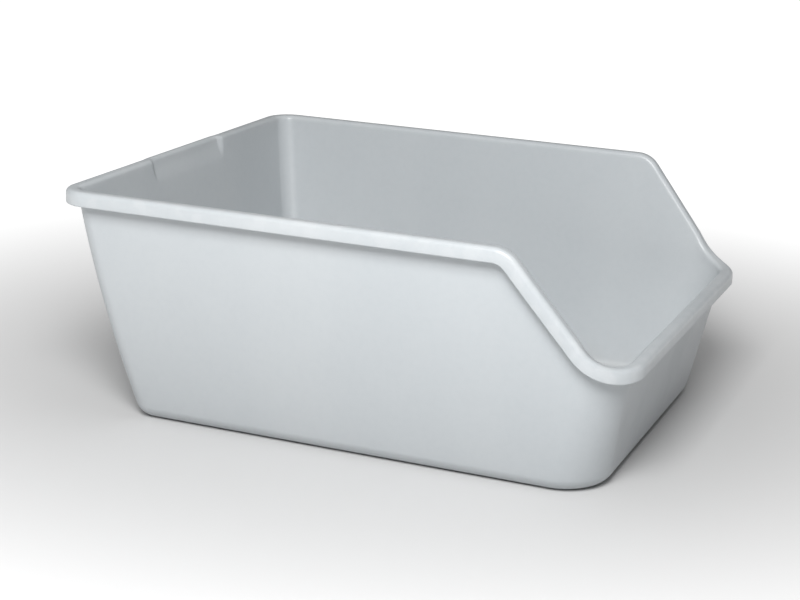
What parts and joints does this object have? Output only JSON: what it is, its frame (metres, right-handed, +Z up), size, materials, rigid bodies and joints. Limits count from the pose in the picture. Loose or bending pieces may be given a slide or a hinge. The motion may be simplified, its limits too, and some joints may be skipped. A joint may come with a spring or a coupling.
{
  "type": "open cat litter tray",
  "caption": "Open one-piece litter tray with high back and sides, a sloped cut down to a low entrance, drafted walls and a rolled hanging rim.",
  "frame": {"origin": "middle of the plan at the base it stands on", "axes": "+X towards the low entrance, +Y towards the left side seen from behind, +Z up"},
  "size_m": [0.54, 0.446, 0.226],
  "materials": {
    "polypropylene": "semi-gloss moulded light cool grey"
  },
  "bodies": {
    "root": {"tray": "polypropylene"}
  },
  "joints": []
}
